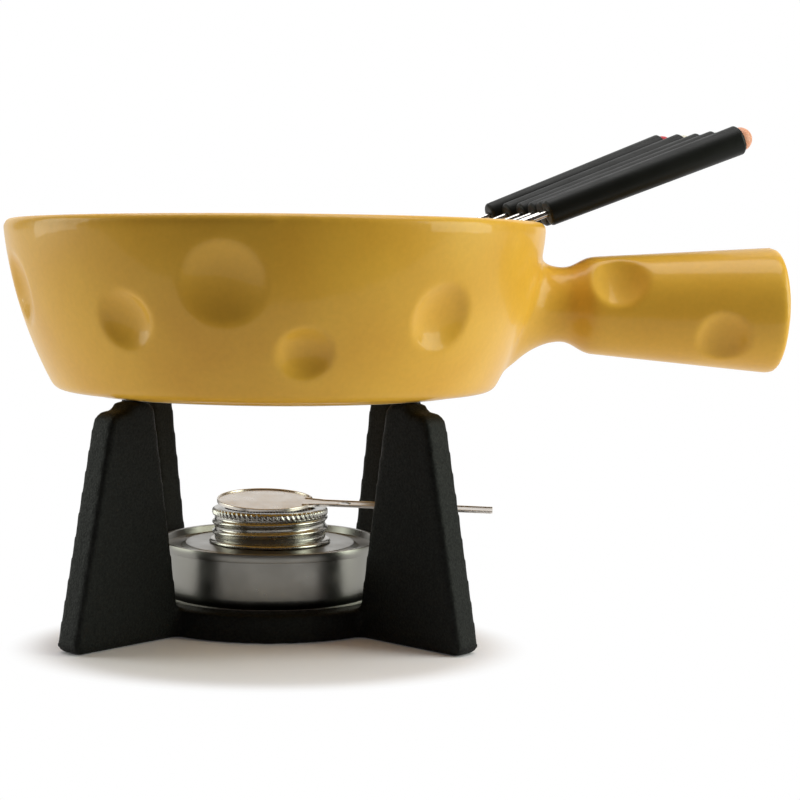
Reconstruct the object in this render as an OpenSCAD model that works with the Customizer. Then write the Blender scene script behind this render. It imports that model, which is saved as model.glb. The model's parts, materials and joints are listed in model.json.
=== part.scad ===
// Fondue set: a glazed ceramic pot on a cast-iron stand, a spirit burner and six forks.
// Millimetres, +Z up. The origin is on the table under the middle of the stand,
// +X points along the pot's handle and -Y is the front.

/* [Pot] */
// Outer radius at the rim
pot_rim_r = 115.3; // [96:0.1:140]
// Height from the foot to the rim
pot_h = 73.4; // [61:0.1:92]
// Thickness of the wall
pot_wall = 7; // [5:0.5:8]
// Thickness of the floor above the outer base
pot_floor = 6.8; // [5:0.1:10]
// Radius of the wall's side curve
wall_curve_r = 184; // [150:1:400]
// Lean of the wall at the rim, in degrees from upright
rim_lean = 5.6; // [3:0.1:12]
// Radius of the outer corner under the wall
base_corner_r = 6; // [5:0.5:12]
// Radius of the inner corner round the floor
floor_corner_r = 14; // [8:0.5:18]
// Outer radius of the foot ring
foot_r = 80; // [76:0.5:86]
// Width of the foot ring
foot_w = 9; // [6:0.5:12]
// Height of the foot ring under the base
foot_h = 1.7; // [1:0.1:3]

/* [Pot handle] */
// Length from the pot's axis to the handle's end
grip_end = 215.3; // [190:0.1:260]
// Height of the handle's axis above the foot, at the wall
grip_z = 41.2; // [34:0.1:50]
// Droop of the handle's axis, in degrees
grip_droop = 1.2; // [0:0.1:4]
// Radius of the narrow neck
neck_r = 16; // [12:0.25:19]
// Radius just past the neck
grip_r = 21; // [18:0.25:25]
// Radius at the end
grip_end_r = 27; // [24:0.25:33]
// Wall thickness of the hollow handle
grip_wall = 6; // [4:0.5:8]
// Radius of the kiln vent in the end face
vent_r = 4; // [3:0.5:6]

/* [Dents] */
// Depth of the round dents in the wall and the handle
dent_depth = 3.4; // [1:0.1:4]

/* [Stand] */
// Height of the stand
stand_h = 96; // [80:0.1:116]
// Reach of a leg from the centre, at the table
leg_foot_r = 110.5; // [95:0.1:130]
// Reach of a leg at the top
leg_top_r = 91.5; // [86:0.5:105]
// Inner edge of a leg at the table
leg_in_foot_r = 55.6; // [54:0.1:66]
// Inner edge of a leg at the top
leg_in_top_r = 71; // [66:0.5:75]
// Thickness of a leg
leg_t = 13; // [10:0.5:16]
// Width of the base disc's rim round the burner's seat
base_rim = 10.8; // [8:0.1:14]
// Thickness of the base disc
base_h = 11.7; // [9:0.1:15]
// Depth of the seat for the burner
seat_depth = 3.7; // [2:0.1:6]

/* [Burner] */
// Radius of the burner's crimped rim
burner_r = 47; // [39:0.1:56.4]
// Height of the burner from its base to its rim
burner_h = 25.7; // [21:0.1:31]
// Thickness of the steel sheet
sheet = 0.6; // [0.4:0.1:1]
// Outer radius of the filler neck
filler_r = 22.5; // [18:0.1:27]
// Height of the filler neck above the top plate
filler_h = 12; // [10:0.1:15]
// Wall of the screw collar in the valleys between its beads
collar_wall = 0.7; // [0.5:0.1:1]
// Height of the screw collar
collar_h = 14.4; // [13:0.1:16]
// Width of the ledge round the flame opening in the collar
flame_ledge = 3.7; // [2:0.1:6]
// Clearance between the neck and the collar
collar_gap = 0.5; // [0.3:0.05:0.7]

/* [Snuffer lid] */
// Overlap of the lid round the flame opening
lid_lap = 1.5; // [1:0.1:3]
// Length from the lid's centre to the handle's end
lid_reach = 97; // [82:1:114]
// Width of the lid's handle
lid_bar_w = 8.5; // [7:0.1:10]
// Distance from the lid's centre to the hole in its handle
lid_hole_x = 34; // [29:0.5:50]
// Radius of that hole
lid_hole_r = 2.75; // [2:0.05:3.2]

/* [Forks] */
// Length of rod and tines outside the handle
rod_l = 188; // [156:1:226]
// Radius of the rod
rod_r = 1.4; // [1:0.1:2]
// Length of the handle
fork_grip_l = 93; // [77:1:112]
// Handle radius where the rod goes in
fork_grip_r = 5.7; // [4.7:0.1:6.4]
// Handle radius at the cap
fork_end_r = 6.6; // [5.5:0.1:8]
// Radius of the coloured cap
cap_r = 5.3; // [4:0.1:5.5]
// Distance between the outer sides of the tines
fork_w = 7.6; // [6:0.1:8]
// Length of the tines
tine_l = 24; // [18:1:30]

/* [Hidden] */
$fn = 96;
FORKS = 6;

iron = "#23241f";
glaze = "#d9a038";
steel = "#b9b6ae";
cap_colours = ["#e0a483", "#e0b23a", "#4f8a4a", "#3d6a9e", "#d9d2c2", "#b8323a"];
slip = 0.3;      // gap between pieces that only lie near each other
pot_off = 1.7;   // the pot stands this far off the stand's centre, towards its handle
big = 400;       // longer than the whole set, for cuts

// Points of an arc round c, from angle a to angle b
function arc(c, r, a, b, n) = [for (i = [0:n]) let (t = a + (b - a) * i / n) c + r * [cos(t), sin(t)]];

// ---- Pot profile: the wall is one long arc round wall_c, angles are below the horizontal ----
rim_z = stand_h + pot_h;
base_z = stand_h + foot_h;
floor_z = base_z + pot_floor;
wall_c = [pot_rim_r - wall_curve_r * cos(rim_lean), rim_z + wall_curve_r * sin(rim_lean)];
rim_rd = pot_wall / 2;
rim_a = asin((wall_c.y + rim_rd - rim_z) / (wall_curve_r - rim_rd));
rim_mid = wall_c + (wall_curve_r - rim_rd) * [cos(rim_a), -sin(rim_a)];
base_a = asin((wall_c.y - base_z - base_corner_r) / (wall_curve_r - base_corner_r));
base_mid = wall_c + (wall_curve_r - base_corner_r) * [cos(base_a), -sin(base_a)];
inner_curve_r = wall_curve_r - pot_wall;
floor_a = asin((wall_c.y - floor_z - floor_corner_r) / (inner_curve_r - floor_corner_r));
floor_mid = wall_c + (inner_curve_r - floor_corner_r) * [cos(floor_a), -sin(floor_a)];
function wall_angle(z) = asin((wall_c.y - z) / wall_curve_r);
function wall_r(z) = wall_c.x + wall_curve_r * cos(wall_angle(z));

foot_recess = foot_h / 2;
outer_profile = concat(
    [[0, stand_h + foot_recess], [foot_r - foot_w, stand_h + foot_recess], [foot_r - foot_w, stand_h],
     [foot_r, stand_h], [foot_r, base_z]],
    arc(base_mid, base_corner_r, -90, -base_a, 8),
    arc(wall_c, wall_curve_r, -base_a, -rim_a, 12),
    arc(rim_mid, rim_rd, -rim_a, 90, 6),
    [[0, rim_z]]
);
inner_profile = concat(
    [[0, floor_z]],
    arc(floor_mid, floor_corner_r, -90, -floor_a, 8),
    arc(wall_c, inner_curve_r, -floor_a, -rim_a, 12),
    arc(rim_mid, rim_rd, 180 - rim_a, 90, 6),
    [[rim_mid.x, rim_z + 1], [0, rim_z + 1]]
);

// ---- Pot handle: a turned shape along its own axis, which starts on the pot's axis ----
root_x = wall_r(stand_h + grip_z) - 9;    // where the flare is lost in the wall
root_r = 28.5;
neck_x = wall_r(stand_h + grip_z) + 14;
shoulder_x = neck_x + 13;
end_rd = 3;
function blend(t) = (1 - cos(180 * t)) / 2;
function grip_at(x) =
    x < neck_x ? neck_r + (root_r - neck_r) * pow((neck_x - x) / (neck_x - root_x), 2)
    : x < shoulder_x ? neck_r + (grip_r - neck_r) * blend((x - neck_x) / (shoulder_x - neck_x))
    : grip_r + (grip_end_r - grip_r) * (x - shoulder_x) / (grip_end - shoulder_x);
root_steps = [for (i = [0:6]) root_x + (neck_x - root_x) * i / 6];
shoulder_steps = [for (i = [1:6]) neck_x + (shoulder_x - neck_x) * i / 6];
grip_profile = concat(
    [[0, root_x]],
    [for (x = concat(root_steps, shoulder_steps)) [grip_at(x), x]],
    arc([grip_end_r - end_rd, grip_end - end_rd], end_rd, 0, 90, 6),
    [[0, grip_end]]
);
hollow_x = neck_x - 4;
hollow_profile = concat(
    [[0, hollow_x]],
    [for (x = concat([hollow_x, neck_x], shoulder_steps, [grip_end - grip_wall])) [grip_at(x) - grip_wall, x]],
    [[0, grip_end - grip_wall]]
);

module along_grip() {
    translate([0, 0, stand_h + grip_z]) rotate([0, 90 + grip_droop, 0]) children();
}

// Dents in the wall: turn from the front towards the handle, height above the foot, diameter
wall_dents = [
    [-71, 44, 30], [-32, 33, 24], [-10, 47.3, 32], [6.4, 21.2, 21], [36.5, 34.8, 28],
    [128, 41, 27], [152, 27, 20], [176, 45, 32], [203, 31, 24], [230, 47, 26], [252, 27, 20]
];
// Dents in the handle: distance from the pot's axis, turn up from the front, diameter
grip_dents = [[144.5, 33, 24], [188, -29, 22], [156, 172, 24], [194, 128, 20]];
function ball_r(d) = (d * d / 4 + dent_depth * dent_depth) / (2 * dent_depth);

module wall_dent(turn, h, d) {
    z = stand_h + h;
    a = wall_angle(z);
    out = ball_r(d) - dent_depth;
    rotate([0, 0, turn - 90]) translate([wall_r(z) + out * cos(a), 0, z - out * sin(a)]) sphere(r = ball_r(d));
}

module grip_dent(x, turn, d) {
    along_grip() rotate([0, 0, 180 - turn])
        translate([0, grip_at(x) + ball_r(d) - dent_depth, x]) sphere(r = ball_r(d));
}

module pot() {
    color(glaze) translate([pot_off, 0, 0]) difference() {
        union() {
            rotate_extrude() polygon(outer_profile);
            along_grip() rotate_extrude() polygon(grip_profile);
        }
        rotate_extrude() polygon(inner_profile);
        along_grip() rotate_extrude() polygon(hollow_profile);
        along_grip() translate([0, 0, grip_end - grip_wall - 1]) cylinder(r = vent_r, h = grip_wall + 2);
        for (d = wall_dents) wall_dent(d[0], d[1], d[2]);
        for (d = grip_dents) grip_dent(d[0], d[1], d[2]);
    }
}

// ---- Stand: a disc with four blade legs on its diagonals, cast in one ----
seat_z = base_h - seat_depth;
seat_r = burner_r + 1;
base_r = seat_r + base_rim;
top_out_rd = 9;
top_in_rd = 4;
toe_rd = 2.5;
lean_out = atan((leg_foot_r - leg_top_r) / stand_h);
lean_in = atan((leg_in_top_r - leg_in_foot_r) / stand_h);
// Centre of a corner arc that touches the leg's top and its sloping edge
top_out_c = [leg_top_r - top_out_rd * (1 - sin(lean_out)) / cos(lean_out), stand_h - top_out_rd];
top_in_c = [leg_in_top_r + top_in_rd * (1 - sin(lean_in)) / cos(lean_in), stand_h - top_in_rd];
toe_c = [leg_foot_r - toe_rd * (1 + sin(lean_out)) / cos(lean_out), toe_rd];
base_edge = 1;                       // chamfer on the disc's upper edge
toe_h = base_h - base_edge - 0.8;    // the leg runs into the disc's side below that chamfer
leg_outline = concat(
    [[base_r - 4, 0]],
    arc(toe_c, toe_rd, -90, lean_out, 5),
    arc(top_out_c, top_out_rd, lean_out, 90, 8),
    arc(top_in_c, top_in_rd, 90, 180 - lean_in, 5),
    [[leg_in_foot_r + toe_h * tan(lean_in), toe_h], [base_r - 4, toe_h]]
);

module leg() {
    rotate([90, 0, 0]) translate([0, 0, -leg_t / 2]) linear_extrude(height = leg_t) polygon(leg_outline);
}

module stand() {
    color(iron) union() {
        difference() {
            rotate_extrude() polygon([
                [0, 0], [base_r, 0], [base_r, base_h - base_edge], [base_r - base_edge, base_h], [0, base_h]
            ]);
            translate([0, 0, seat_z]) cylinder(r = seat_r, h = base_h);
        }
        for (a = [45:90:315]) rotate([0, 0, a]) leg();
    }
}

// ---- Burner: every profile is [radius, height] ----
pan_z = seat_z;
pan_rim_z = pan_z + burner_h;
pan_r = burner_r - sheet - 0.2;      // the crimp folds over the pan's edge
pan_corner = 3;
crimp_h = 3.6;

module burner_pan() {
    color(steel) rotate_extrude() polygon(concat(
        [[0, pan_z]],
        arc([pan_r - pan_corner, pan_z + pan_corner], pan_corner, -90, 0, 5),
        [[pan_r, pan_rim_z - sheet], [pan_r - sheet, pan_rim_z - sheet]],
        arc([pan_r - pan_corner, pan_z + pan_corner], pan_corner - sheet, 0, -90, 5),
        [[0, pan_z + sheet]]
    ));
}

moat_z = pan_rim_z - 2.9;            // top of the groove inside the rim
deck_z = pan_rim_z - 1.6;            // top of the raised deck
deck_r = burner_r - 10.7;
groove_r = deck_r + 1.5;
filler_top = deck_z + filler_h;

module burner_top() {
    in_r = pan_r - sheet;
    color(steel) rotate_extrude() polygon([
        [pan_r, pan_rim_z - crimp_h], [burner_r, pan_rim_z - crimp_h], [burner_r, pan_rim_z - 0.4],
        [burner_r - 0.4, pan_rim_z], [in_r - sheet + 0.4, pan_rim_z], [in_r - sheet, pan_rim_z - 0.4],
        [in_r - sheet, moat_z], [groove_r, moat_z], [deck_r, deck_z],
        [filler_r, deck_z], [filler_r, filler_top], [filler_r - sheet, filler_top],
        [filler_r - sheet, deck_z - sheet], [deck_r, deck_z - sheet], [groove_r, moat_z - sheet],
        [in_r, moat_z - sheet], [in_r, pan_rim_z - sheet], [pan_r, pan_rim_z - sheet]
    ]);
}

module wick_pad() {
    pad_r = pan_r - sheet - slip;
    pad_z = pan_z + sheet;
    pad_top = moat_z - sheet - 1;
    color("#e8e4da") rotate_extrude() polygon([
        [0, pad_z], [pad_r - pan_corner, pad_z], [pad_r, pad_z + pan_corner], [pad_r, pad_top], [0, pad_top]
    ]);
}

collar_z = deck_z + slip;
collar_top = collar_z + collar_h;
collar_in = filler_r + collar_gap;
collar_skin = collar_in + collar_wall;
bead_rd = 1.1;
collar_r = collar_skin + bead_rd;
flame_r = collar_in - flame_ledge;
thread_pitch = 4.2;

// The collar's beads are drawn level; its screw pitch is thread_pitch
module screw_collar() {
    color(steel) difference() {
        union() {
            translate([0, 0, collar_z]) cylinder(r = collar_skin, h = collar_h);
            translate([0, 0, collar_z]) cylinder(r1 = collar_r + 1.2, r2 = collar_r + 0.6, h = 1.6);
            for (i = [0, 1]) translate([0, 0, collar_z + 5.2 + i * thread_pitch])
                rotate_extrude() translate([collar_r - bead_rd, 0]) circle(r = bead_rd, $fn = 32);
            translate([0, 0, collar_top - 3]) cylinder(r = collar_r, h = 3);
        }
        translate([0, 0, collar_z - 1]) cylinder(r = collar_in, h = collar_h + 1 - 2 * sheet);
        translate([0, 0, collar_z]) cylinder(r = flame_r, h = collar_h + 1);
    }
}

gauze_t = 0.5;
module flame_gauze() {
    color("#8a8880") translate([0, 0, collar_top - 2 * sheet - gauze_t - slip])
        cylinder(r = collar_in - slip, h = gauze_t);
}

// ---- Snuffer lid: a pressed disc and its channel handle, one sheet ----
lid_r = flame_r + lid_lap;
lid_t = 0.8;
lip_h = 0.6;
lid_shift = -2;
lid_swing = -7;
lid_tip = 5;                         // lies tipped down towards the front
lid_droop = 1.3;
bar_lip = 0.8;

module snuffer_lid() {
    low = lid_r * sin(lid_tip) + lid_r * sin(lid_droop);
    color("#c5bdb5") translate([lid_shift, 0, collar_top + low])
        rotate([lid_tip, lid_droop, lid_swing]) difference() {
            union() {
                cylinder(r = lid_r, h = lid_t);
                difference() {
                    cylinder(r = lid_r, h = lid_t + lip_h);
                    cylinder(r = lid_r - 0.7, h = big);
                    translate([lid_r - 4, -lid_bar_w / 2, lid_t]) cube([big, lid_bar_w, big]);
                }
                linear_extrude(height = lid_t) polygon([
                    [lid_r - 5, -7.5], [lid_r + 2, -lid_bar_w / 2 - 0.8], [lid_r + 5, -lid_bar_w / 2],
                    [lid_r + 5, lid_bar_w / 2], [lid_r + 2, lid_bar_w / 2 + 0.8], [lid_r - 5, 7.5]
                ]);
                translate([lid_r, -lid_bar_w / 2, 0]) cube([lid_reach - lid_r, lid_bar_w, lid_t]);
                for (s = [-1, 1]) translate([lid_r - 5, s * (lid_bar_w - bar_lip) / 2 - bar_lip / 2, 0])
                    cube([lid_reach - lid_r + 5, bar_lip, lid_t + bar_lip]);
            }
            translate([lid_hole_x, 0, -1]) cylinder(r = lid_hole_r, h = 4);
        }
}

// ---- Forks: a fan that leans on the rim beside the pot's handle, tips on the floor ----
grip_gap = 0.43;         // between neighbouring handles at their caps
fork_y0 = 2;             // the front fork's lower end
tip_pitch = 8.6;
// Spacing of the handles' lower ends, from their spacing at the caps
fork_pitch = tip_pitch + (2 * fork_end_r + grip_gap - tip_pitch) * rod_l / (rod_l + fork_grip_l);
tip_y0 = -20;
fork_out = 1.4;          // gap from the rim's radius to the handles' lower ends
tip_lift = [0.4, 1.8, 0.9, 1.2, 0.6, 0.4];
tine_r = 0.9;
tine_c = fork_w / 2 - tine_r;

function grip_y(i) = fork_y0 + fork_pitch * i;
function tip_y(i) = tip_y0 + tip_pitch * i;
function end_x(i) = sqrt(pow(pot_rim_r + fork_out, 2) - pow(grip_y(i), 2));
// Where the fork's vertical plane crosses the middle of the rim
function rim_x(i) = sqrt(pow(rim_mid.x, 2) - pow(grip_y(i), 2));
function lean_d(i) = (rim_rd / cos(asin(grip_y(i) / rim_mid.x)) + rim_rd) / 2 + rod_r + slip;
function past_rim(i) = end_x(i) - rim_x(i) + 0.36 * lean_d(i);
function tip_z(i) = floor_z + tine_r + tip_lift[i];
function drop(i) = rim_mid.y + lean_d(i) - tip_z(i);
// The tips stay on the flat of the floor, so a longer rod leans more steeply
floor_edge = floor_mid.x - 3;
function tip_x_min(i) = -sqrt(pow(floor_edge, 2) - pow(tip_y(i), 2));
function tip_to_rim(i) = min(
    rod_l - past_rim(i),
    norm([rim_x(i) - tip_x_min(i), grip_y(i) - tip_y(i), drop(i)]) - 2 * slip
);
function rise(i) = asin(drop(i) / tip_to_rim(i));
function turn(i) = asin((grip_y(i) - tip_y(i)) / (rod_l * cos(rise(i))));
function tip_x(i) = max(end_x(i) - rod_l * cos(rise(i)) * cos(turn(i)), tip_x_min(i));

// Turns +Z along fork i, with the origin at its tip
module along_fork(i) {
    translate([pot_off + tip_x(i), tip_y(i), tip_z(i)]) rotate([0, 0, turn(i)]) rotate([0, 90 - rise(i), 0]) children();
}

point_l = 5;
socket = 22;           // depth of the rod in the handle
peg_r = 3;
peg_l = 6;

module fork_rod(i) {
    bow_z = tine_l;
    color(steel) along_fork(i) {
        for (s = [-1, 1]) translate([0, s * tine_c, 0]) {
            cylinder(r1 = 0.2, r2 = tine_r, h = point_l);
            translate([0, 0, point_l]) cylinder(r = tine_r, h = bow_z - point_l);
        }
        translate([0, 0, bow_z]) rotate([0, 90, 0]) rotate([0, 0, 90])
            rotate_extrude(angle = 180) translate([tine_c, 0]) circle(r = tine_r, $fn = 32);
        translate([0, 0, bow_z + tine_c]) cylinder(r = rod_r, h = rod_l + socket - bow_z - tine_c);
    }
}

module fork_grip(i) {
    chamfer = 0.7;
    color("#1b1b1b") along_fork(i) translate([0, 0, rod_l]) difference() {
        rotate_extrude() polygon([
            [0, 0], [fork_grip_r - chamfer, 0], [fork_grip_r, chamfer],
            [fork_end_r, fork_grip_l - 1.2], [fork_end_r - 1.2, fork_grip_l], [0, fork_grip_l]
        ]);
        translate([0, 0, -1]) cylinder(r = rod_r, h = socket + 1);
        translate([0, 0, fork_grip_l - peg_l]) cylinder(r = peg_r, h = peg_l + 1);
    }
}

module fork_cap(i) {
    dome_h = 5;
    dome_rd = (cap_r * cap_r + dome_h * dome_h) / (2 * dome_h);
    color(cap_colours[i]) along_fork(i) translate([0, 0, rod_l + fork_grip_l]) rotate_extrude() polygon(concat(
        [[0, -peg_l], [peg_r, -peg_l], [peg_r, 0]],
        arc([0, dome_h - dome_rd], dome_rd, asin((dome_rd - dome_h) / dome_rd), 90, 8)
    ));
}

stand();
pot();
burner_pan();
burner_top();
wick_pad();
flame_gauze();
screw_collar();
snuffer_lid();
for (i = [0:FORKS - 1]) {
    fork_rod(i);
    fork_grip(i);
    fork_cap(i);
}
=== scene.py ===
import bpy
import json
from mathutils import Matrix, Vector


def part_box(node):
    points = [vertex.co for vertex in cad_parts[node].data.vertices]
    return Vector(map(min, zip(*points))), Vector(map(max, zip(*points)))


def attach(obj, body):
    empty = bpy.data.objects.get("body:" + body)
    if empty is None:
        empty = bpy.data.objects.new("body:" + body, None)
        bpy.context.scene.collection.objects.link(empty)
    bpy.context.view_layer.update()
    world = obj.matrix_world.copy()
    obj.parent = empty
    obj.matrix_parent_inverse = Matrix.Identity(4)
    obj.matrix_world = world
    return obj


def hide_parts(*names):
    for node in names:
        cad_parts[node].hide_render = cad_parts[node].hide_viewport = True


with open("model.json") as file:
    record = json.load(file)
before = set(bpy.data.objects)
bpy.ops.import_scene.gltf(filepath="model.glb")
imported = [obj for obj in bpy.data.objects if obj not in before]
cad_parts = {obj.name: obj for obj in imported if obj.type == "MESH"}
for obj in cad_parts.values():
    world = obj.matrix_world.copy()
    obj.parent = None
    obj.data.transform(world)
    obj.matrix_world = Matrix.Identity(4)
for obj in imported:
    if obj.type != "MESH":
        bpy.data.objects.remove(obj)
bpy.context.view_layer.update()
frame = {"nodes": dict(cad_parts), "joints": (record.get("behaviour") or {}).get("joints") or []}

import json
import math

import bmesh
import bpy
from mathutils import Matrix, Vector

MM = 0.001      # Blender works in metres; every size below is in millimetres

# ---------------------------------------------------------------------------------------------
# Camera: a long lens a little under the rim's height, looking level at the set's front,
# so the rim is almost a straight line and the burner's top is seen from slightly above.
# ---------------------------------------------------------------------------------------------
camera_place = (3.3, -750.0, 148.2)
camera_turn, camera_dip, camera_roll = 1.333, 1.08, 0.451      # degrees: right, down, clockwise
lens = bpy.data.cameras.new("studio_camera")
lens.sensor_width = 36
lens.lens = 78.8
lens.shift_x = 0.10
lens.shift_y = -0.12
camera = bpy.data.objects.new("studio_camera", lens)
bpy.context.scene.collection.objects.link(camera)
camera.matrix_world = (
    Matrix.Translation(Vector(camera_place) * MM)
    @ Matrix.Rotation(math.radians(-camera_turn), 4, "Z")
    @ Matrix.Rotation(math.radians(90 - camera_dip), 4, "X")
    @ Matrix.Rotation(math.radians(camera_roll), 4, "Z")
)
bpy.context.scene.camera = camera
bpy.context.scene.view_settings.view_transform = "Standard"

# ---------------------------------------------------------------------------------------------
# Studio: a white sweep, softboxes at both sides and one over the back of the table.
# Nothing shines from the front, so round pieces are darker in the middle than at their sides.
# ---------------------------------------------------------------------------------------------


def linear(hex_colour):
    """An sRGB hex colour as the linear RGBA that shaders work in."""
    channels = [int(hex_colour[i:i + 2], 16) / 255 for i in (1, 3, 5)]
    return tuple(c / 12.92 if c <= 0.04045 else ((c + 0.055) / 1.055) ** 2.4 for c in channels) + (1.0,)


def add(tree, kind, values=None, **settings):
    """Adds a shader node. A value is a number, a colour or another node's output, by socket."""
    node = tree.nodes.new("ShaderNode" + kind)
    for name, setting in settings.items():
        setattr(node, name, setting)
    for socket, value in (values or {}).items():
        if isinstance(value, bpy.types.NodeSocket):
            tree.links.new(value, node.inputs[socket])
        else:
            node.inputs[socket].default_value = value
    return node


def blank_material(name):
    """A material with an empty node tree."""
    material = bpy.data.materials.new(name)
    material.use_nodes = True
    material.node_tree.nodes.clear()
    return material, material.node_tree


def softbox(name, place, aim, size, power, tint=(1, 1, 1)):
    """A rectangular light at a place in metres, turned to aim at a point."""
    light = bpy.data.lights.new(name, "AREA")
    light.shape = "RECTANGLE"
    light.size, light.size_y = size
    light.energy = power
    light.color = tint
    box = bpy.data.objects.new(name, light)
    bpy.context.scene.collection.objects.link(box)
    towards = Vector(aim) - Vector(place)
    box.matrix_world = Matrix.Translation(place) @ towards.to_track_quat("-Z", "Y").to_matrix().to_4x4()


softbox("left_softbox", (-1.2, 0.2, 0.45), (0, 0, 0.12), (0.7, 1.0), 8, (0.94, 1, 0.9))
softbox("right_softbox", (1.25, -0.22, 0.45), (0, 0, 0.12), (0.8, 1.0), 14, (0.92, 1, 0.87))
softbox("top_softbox", (0.1, 0.15, 1.2), (0.05, 0.05, 0.05), (1.5, 0.6), 12)

world = bpy.data.worlds.new("white_room")
bpy.context.scene.world = world
world.use_nodes = True
world.node_tree.nodes.clear()
seen = add(world.node_tree, "LightPath")
room = add(world.node_tree, "Background", {"Color": (1, 0.85, 0.8, 1), "Strength": 0.07})
sweep = add(world.node_tree, "Background", {"Color": (1, 1, 1, 1), "Strength": 1.0})
both = add(world.node_tree, "MixShader", {0: seen.outputs["Is Camera Ray"], 1: room.outputs[0],
                                          2: sweep.outputs[0]})
add(world.node_tree, "OutputWorld", {"Surface": both.outputs[0]})

# The table is a lit white sheet. It glows evenly all over, except on an oval patch under the
# set's front half: that takes only the light that falls on it, so the stand has a soft shadow
# close to its feet. The sheet's front edge is close to the set, and nothing past it is lit.
patch_centre_y, patch_squash = -0.06, 1.3      # metres, and how much shorter the oval is in Y
patch_inside, patch_outside = 0.078, 0.104     # metres out, where the glow begins and where it is full
table_half_w, table_front_y, table_back_y = 3, -0.32, 3
table = bmesh.new()
bmesh.ops.create_grid(table, x_segments=1, y_segments=1, size=1)
bmesh.ops.scale(table, vec=(table_half_w, (table_back_y - table_front_y) / 2, 1), verts=table.verts[:])
bmesh.ops.translate(table, vec=(0, (table_back_y + table_front_y) / 2, 0), verts=table.verts[:])
table_mesh = bpy.data.meshes.new("table")
table.to_mesh(table_mesh)
table.free()
table_top = bpy.data.objects.new("table", table_mesh)
bpy.context.scene.collection.objects.link(table_top)
paper, tree = blank_material("lit_white_sheet")
place = add(tree, "TexCoord").outputs["Object"]
from_patch = add(tree, "VectorMath", {0: place, 1: (1, patch_squash, 0),
                                      2: (0, -patch_squash * patch_centre_y, 0)}, operation="MULTIPLY_ADD")
out_from_patch = add(tree, "VectorMath", {0: from_patch.outputs[0]}, operation="LENGTH")
glow_share = add(tree, "MapRange", {"Value": out_from_patch.outputs["Value"], "From Min": patch_inside,
                                    "From Max": patch_outside, "To Min": 0.03, "To Max": 1.0},
                 interpolation_type="SMOOTHSTEP")
dull_sheet = add(tree, "BsdfDiffuse", {"Color": linear("#f7f4fa")})
glow = add(tree, "Emission", {"Color": (1, 1, 1, 1), "Strength": 1.0})
mixed = add(tree, "MixShader", {0: glow_share.outputs[0], 1: dull_sheet.outputs[0], 2: glow.outputs[0]})
add(tree, "OutputMaterial", {"Surface": mixed.outputs[0]})
table_mesh.materials.append(paper)

# A white backdrop hangs behind the table, and the polished metal mirrors it.
backdrop = bmesh.new()
bmesh.ops.create_grid(backdrop, x_segments=1, y_segments=1, size=1.6,
                      matrix=Matrix.Translation((0, 1.7, 1.6)) @ Matrix.Rotation(math.radians(90), 4, "X"))
backdrop_mesh = bpy.data.meshes.new("backdrop")
backdrop.to_mesh(backdrop_mesh)
backdrop.free()
hanging = bpy.data.objects.new("backdrop", backdrop_mesh)
bpy.context.scene.collection.objects.link(hanging)
lit_cloth, tree = blank_material("lit_white_backdrop")
glow = add(tree, "Emission", {"Color": (1, 1, 1, 1), "Strength": 1.0})
add(tree, "OutputMaterial", {"Surface": glow.outputs[0]})
backdrop_mesh.materials.append(lit_cloth)

# ---------------------------------------------------------------------------------------------
# Stand: one sand casting in grey iron, painted matt black. A round base with a seat for the
# burner and four blade legs on its diagonals. The pot's foot rests on the inner part of their tops.
# ---------------------------------------------------------------------------------------------
stand_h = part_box("stand")[1].z / MM
base_r, base_h, base_edge = 58.8, 11.7, 1.0
seat_r, seat_z = 48, 8
leg_t, leg_foot_r, leg_top_r = 13, 110.5, 91.5
leg_in_foot_r, leg_in_top_r = 55.6, 71
top_out_rd, top_in_rd, toe_rd = 6, 4, 2.5
shoulder_drop, shoulder_r = 3.4, 83      # outside the pot's foot, a leg's top steps down
casting_voxel = 1.15


def chain(bm, points, closed=False):
    """Vertices joined in a line, from points in millimetres."""
    verts = [bm.verts.new(Vector(point) * MM) for point in points]
    pairs = list(zip(verts, verts[1:])) + ([(verts[-1], verts[0])] if closed else [])
    return verts, [bm.edges.new(pair) for pair in pairs]


def arc(centre, radius, start, end, steps):
    """Points of an arc in a flat outline, from one angle to another in degrees."""
    angles = [math.radians(start + (end - start) * i / steps) for i in range(steps + 1)]
    return [(centre[0] + radius * math.cos(a), centre[1] + radius * math.sin(a)) for a in angles]


def eased(points, radius, closed=False, steps=3):
    """The outline with each corner rounded by about a radius, or less where its sides are short."""
    count = len(points)
    rounded = []
    for i, (x, y) in enumerate(points):
        if not closed and i in (0, count - 1):
            rounded.append((x, y))
            continue
        corner = Vector((x, y))
        before = Vector(points[i - 1]) - corner
        after = Vector(points[(i + 1) % count]) - corner
        reach = min(radius, 0.45 * before.length, 0.45 * after.length)
        if before.length < 1e-6 or after.length < 1e-6 or before.angle(after) > math.radians(160):
            rounded.append((x, y))
            continue
        start = corner + before.normalized() * reach
        end = corner + after.normalized() * reach
        for k in range(steps + 1):
            t = k / steps
            point = start * (1 - t) ** 2 + corner * 2 * t * (1 - t) + end * t ** 2
            rounded.append((point.x, point.y))
    return rounded


def turned(outline, steps=180, closed=False):
    """A solid turned round Z from an outline of (radius, height) points."""
    bm = bmesh.new()
    verts, edges = chain(bm, [(r, 0, z) for r, z in outline], closed)
    bmesh.ops.spin(bm, geom=verts + edges, cent=(0, 0, 0), axis=(0, 0, 1), angle=2 * math.pi,
                   steps=steps, use_merge=True)
    bmesh.ops.remove_doubles(bm, verts=bm.verts[:], dist=1e-6)
    bmesh.ops.recalc_face_normals(bm, faces=bm.faces[:])
    return bm


def moved(bm, matrix):
    """The same mesh in another place."""
    bmesh.ops.transform(bm, matrix=matrix, verts=bm.verts[:])
    return bm


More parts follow.
